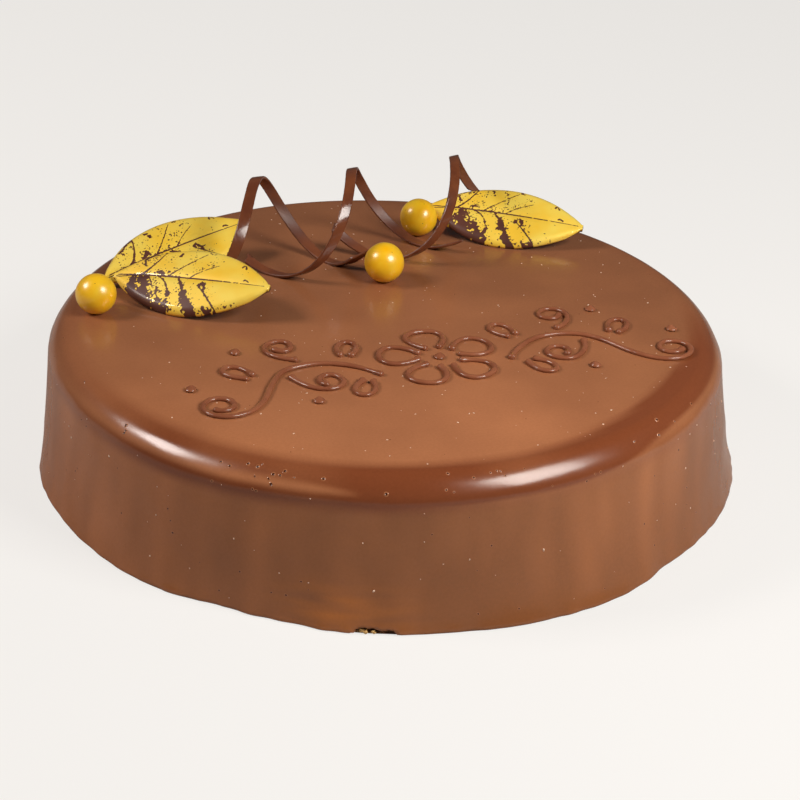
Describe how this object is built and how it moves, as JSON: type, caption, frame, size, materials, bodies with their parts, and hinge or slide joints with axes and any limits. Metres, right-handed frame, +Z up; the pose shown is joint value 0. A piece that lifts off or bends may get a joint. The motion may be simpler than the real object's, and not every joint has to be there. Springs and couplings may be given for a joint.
{
  "type": "sachertorte cake",
  "caption": "Round chocolate torte under a poured satin glaze, dressed with printed chocolate leaves, gold sugar pearls, dark chocolate curls and a piped flower with scrolling vines.",
  "frame": {"origin": "middle of the cake's flat underside, which rests on the surface", "axes": "+Z up, through the middle of the round cake; +X along the piped vines; the front, with the piping near it, faces -Y"},
  "size_m": [0.251, 0.2514, 0.0862],
  "materials": {
    "poured_glaze": "milk chocolate glaze, poured, satin",
    "printed_leaf": "moulded chocolate with a printed gold face and brown veins, semi-gloss",
    "sugar_pearl": "sugar pearl with a pearlescent gold coat",
    "dark_chocolate": "tempered dark chocolate ribbon, semi-gloss",
    "piped_chocolate": "piped chocolate, set glossy"
  },
  "bodies": {
    "root": {"bead_lower_left": "piped_chocolate", "bead_lower_right": "piped_chocolate", "bead_outer_left": "piped_chocolate", "bead_outer_right": "piped_chocolate", "bead_upper_left": "piped_chocolate", "bead_upper_right": "piped_chocolate", "curl_left": "dark_chocolate", "curl_middle": "dark_chocolate", "curl_right": "dark_chocolate", "flower_middle": "piped_chocolate", "glazed_cake": "poured_glaze", "leaf_back": "printed_leaf", "leaf_front": "printed_leaf", "leaf_right": "printed_leaf", "pearl_left": "sugar_pearl", "pearl_middle": "sugar_pearl", "pearl_right": "sugar_pearl", "petal_1": "piped_chocolate", "petal_2": "piped_chocolate", "petal_3": "piped_chocolate", "petal_4": "piped_chocolate", "petal_5": "piped_chocolate", "sprig_inner_left": "piped_chocolate", "sprig_inner_right": "piped_chocolate", "sprig_lower_left": "piped_chocolate", "sprig_lower_right": "piped_chocolate", "sprig_outer_left": "piped_chocolate", "sprig_outer_right": "piped_chocolate", "tendril_lower_left": "piped_chocolate", "tendril_lower_right": "piped_chocolate", "tendril_upper_left": "piped_chocolate", "tendril_upper_right": "piped_chocolate", "vine_left": "piped_chocolate", "vine_right": "piped_chocolate"}
  },
  "joints": []
}
